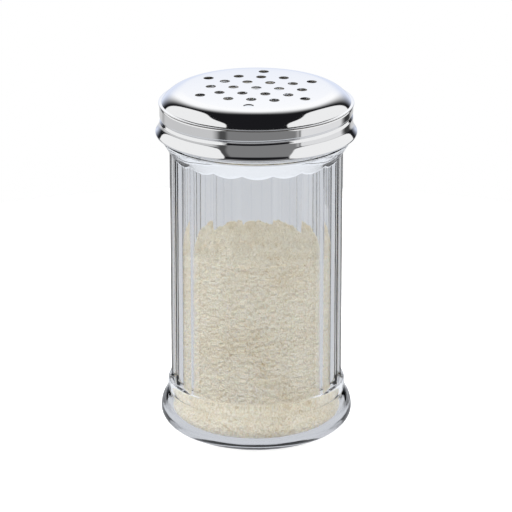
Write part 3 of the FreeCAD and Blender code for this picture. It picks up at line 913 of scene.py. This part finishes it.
class SHAKER_OT_studio(bpy.types.Operator):
    """Lay the pale floor, light the studio and set up the camera"""

    bl_idname = "shaker.studio"
    bl_label = "Studio"

    def execute(self, context):
        studio = context.scene.shaker_studio
        self.lay_floor(studio)
        self.light(context, studio)
        self.place_camera(context, studio)
        context.scene.view_settings.view_transform = "Standard"
        return {"FINISHED"}

    def lay_floor(self, studio):
        count = 96
        bearings = np.arange(count) * TURN / count
        vertices = [(0, 0, 0)]
        for radius in (0.5 * studio.floor_radius, studio.floor_radius):
            vertices += [(radius * math.cos(b), radius * math.sin(b), 0) for b in bearings]
        faces = []
        for here in range(1, count + 1):
            beside = here % count + 1
            faces += [(0, here, beside), (here, count + here, count + beside, beside)]
        mesh = bpy.data.meshes.new("floor")
        mesh.from_pydata(vertices, [], faces)
        mesh.materials.append(self.floor_material(studio))
        floor = bpy.data.objects.new("floor", mesh)
        bpy.context.scene.collection.objects.link(floor)

    def floor_material(self, studio):
        """A pale matte floor that glass and steel show in a more even tone."""
        material, tree = new_material("pale_floor")
        grain = tree.noise(object_place(tree), scale=30.0, detail=2.0)
        deeper = [channel * 0.985 for channel in studio.floor_tone]
        shade = tree.mix(grain, deeper, studio.floor_tone)
        matte = tree.node("ShaderNodeBsdfDiffuse", None, {"Color": shade}).outputs[0]
        path = tree.node("ShaderNodeLightPath")
        seen = tree.value(path, "Is Camera Ray") * studio.floor_lift
        lift = tree.node("ShaderNodeEmission", None, {"Strength": seen}).outputs[0]
        shader = tree.node("ShaderNodeAddShader", None, {0: matte, 1: lift}).outputs[0]
        tones = {"Is Transmission Ray": studio.backdrop, "Is Glossy Ray": studio.floor_mirrored}
        for ray, tone in tones.items():
            even = tree.node("ShaderNodeEmission", None, {"Color": (*tone, 1.0)}).outputs[0]
            blend = {0: tree.value(path, ray) * 0.9, 1: shader, 2: even}
            shader = tree.node("ShaderNodeMixShader", None, blend).outputs[0]
        finish_material(tree, shader)
        return material

    def light(self, context, studio):
        """Surroundings that steel and glass mirror, and soft lamps that they don't."""
        world = bpy.data.worlds.new("studio_light")
        context.scene.world = world
        world.use_nodes = True
        tree = Tree(world.node_tree)
        x, y, z = tree.parts(tree.node("ShaderNodeTexCoord").outputs["Generated"])
        # In degrees: round from the camera's side, positive to the right, and round from the far side.
        around = x.turn(-y)
        behind = abs(x.turn(y))
        height = z.rise()
        front = (1 - height.step(41.0, 46.0)) * (1 - abs(around).step(44.0, 50.0))
        low = (front + 1 - height.step(-14.0, -8.0)).at_most(1.0)
        back = (1 - behind.step(14.0, 36.0)) * (1 - height.step(36.0, 65.0)) * height.step(-18.0, -6.0)
        sky = tree.mix(height.step(4.0, 24.0), studio.back_low, studio.back_high)
        tone = tree.mix(low, studio.dark, tree.grey(self.table(around, behind)))
        tone = tree.mix(self.side_panels(around, height), tone, studio.side_box)
        tone = tree.mix(back, tone, tree.scaled(sky, studio.back_light))
        even = 0.82 + abs(around).step(60.0, 110.0) * 0.14
        through = tree.mix(even, tone, studio.backdrop)
        path = tree.node("ShaderNodeLightPath")
        tone = tree.mix(path.outputs["Is Transmission Ray"], tone, through)
        lit = tree.node("ShaderNodeBackground", None, {"Color": tone}).outputs[0]
        white = tree.node("ShaderNodeBackground", None, {"Color": (1, 1, 1, 1)}).outputs[0]
        seen = {0: path.outputs["Is Camera Ray"], 1: lit, 2: white}
        mixed = tree.node("ShaderNodeMixShader", None, seen).outputs[0]
        tree.node("ShaderNodeOutputWorld", None, {"Surface": mixed})
        self.hang_lamp("top_light", (0.1, -0.25, 0.75), studio.top_light)
        self.hang_lamp("back_lamp", (0.0, 0.94, 0.73), studio.back_lamp)
        self.hang_lamp("left_lamp", (-0.94, 0.0, 0.73), studio.side_lamps)
        self.hang_lamp("right_lamp", (0.94, 0.0, 0.73), studio.side_lamps)
        self.hang_lamp("front_light", (-0.25, -0.91, 0.73), studio.front_light)

    def table(self, around, behind):
        """Grey of the table round the shaker: lighter to the sides and behind, with three dark gaps."""
        lighter = (
            (around, 86.0, 36.0, 5.0, 0.62),
            (around, -97.0, 47.0, 6.0, 0.42),
            (behind, 0.0, 32.0, 8.0, 0.42),
        )
        gaps = ((-41.0, 5.0, 3.0, 0.65), (52.0, 1.5, 1.0, 0.6), (137.0, 9.0, 4.0, 0.8))
        grey = 0.23
        for bearing, middle, reach, soft, amount in lighter:
            grey = grey + bearing.within(middle, reach, soft) * amount
        for middle, reach, soft, amount in gaps:
            grey = grey * (1 - around.within(middle, reach, soft) * amount)
        return grey

    def side_panels(self, around, height):
        """1 on the two lit panels with rounded corners at the sides, and 0 off them."""
        half_width, half_height = 49.0, 35.0
        across = ((abs(around) - 92.0) / half_width) ** 4.0
        upward = ((height - 24.0) / half_height) ** 4.0
        return 1 - (across + upward).step(0.92, 1.08)

    def hang_lamp(self, name, place, watts):
        """A soft square lamp aimed at the middle of the shaker, hidden from steel and glass."""
        data = bpy.data.lights.new(name, "AREA")
        data.size = LAMP_WIDTH
        data.energy = watts
        lamp = bpy.data.objects.new(name, data)
        bpy.context.scene.collection.objects.link(lamp)
        lamp.location = place
        from_aim = Vector(place) - LAMP_AIM
        lamp.rotation_euler = from_aim.to_track_quat("Z", "Y").to_euler()
        lamp.visible_glossy = False
        lamp.visible_transmission = False

    def place_camera(self, context, studio):
        data = bpy.data.cameras.new("camera")
        data.lens = studio.lens
        data.sensor_width = 36.0
        data.clip_start = 0.01
        camera = bpy.data.objects.new("camera", data)
        context.scene.collection.objects.link(camera)
        level = math.cos(studio.pitch)
        toward = Vector(
            (-math.sin(studio.swing) * level, -math.cos(studio.swing) * level, math.sin(studio.pitch))
        )
        aim = Vector((-studio.aim_side, 0, studio.aim_height))
        camera.location = aim + toward * studio.distance
        camera.rotation_euler = (-toward).to_track_quat("-Z", "Y").to_euler()
        context.scene.camera = camera


class SHAKER_PT_panel(bpy.types.Panel):
    """Lists the pieces of the shaker and their settings."""

    bl_label = "Cheese shaker"
    bl_idname = "SHAKER_PT_panel"
    bl_space_type = "VIEW_3D"
    bl_region_type = "UI"
    bl_category = "Shaker"

    def draw(self, context):
        for operator in OPERATORS:
            self.layout.operator(operator.bl_idname)
        for name in GROUPS:
            box = self.layout.box()
            settings = getattr(context.scene, name)
            for field in settings.__annotations__:
                box.prop(settings, field)


GROUPS = {
    "shaker_glass": GlassSizes,
    "shaker_thread": ThreadSizes,
    "shaker_cap": CapSizes,
    "shaker_cheese": CheeseSizes,
    "shaker_finishes": Finishes,
    "shaker_studio": Studio,
}
OPERATORS = (SHAKER_OT_glass, SHAKER_OT_cap, SHAKER_OT_cheese, SHAKER_OT_crumbs, SHAKER_OT_studio)


def register():
    for kind in (*GROUPS.values(), *OPERATORS, SHAKER_PT_panel):
        bpy.utils.register_class(kind)
    for name, kind in GROUPS.items():
        setattr(bpy.types.Scene, name, PointerProperty(type=kind))


def unregister():
    for name in GROUPS:
        delattr(bpy.types.Scene, name)
    for kind in (SHAKER_PT_panel, *reversed(OPERATORS), *reversed(list(GROUPS.values()))):
        bpy.utils.unregister_class(kind)


def main():
    register()
    bpy.ops.shaker.glass()
    bpy.ops.shaker.cap()
    bpy.ops.shaker.cheese()
    bpy.ops.shaker.crumbs()
    bpy.ops.shaker.studio()


if __name__ == "__main__":
    main()
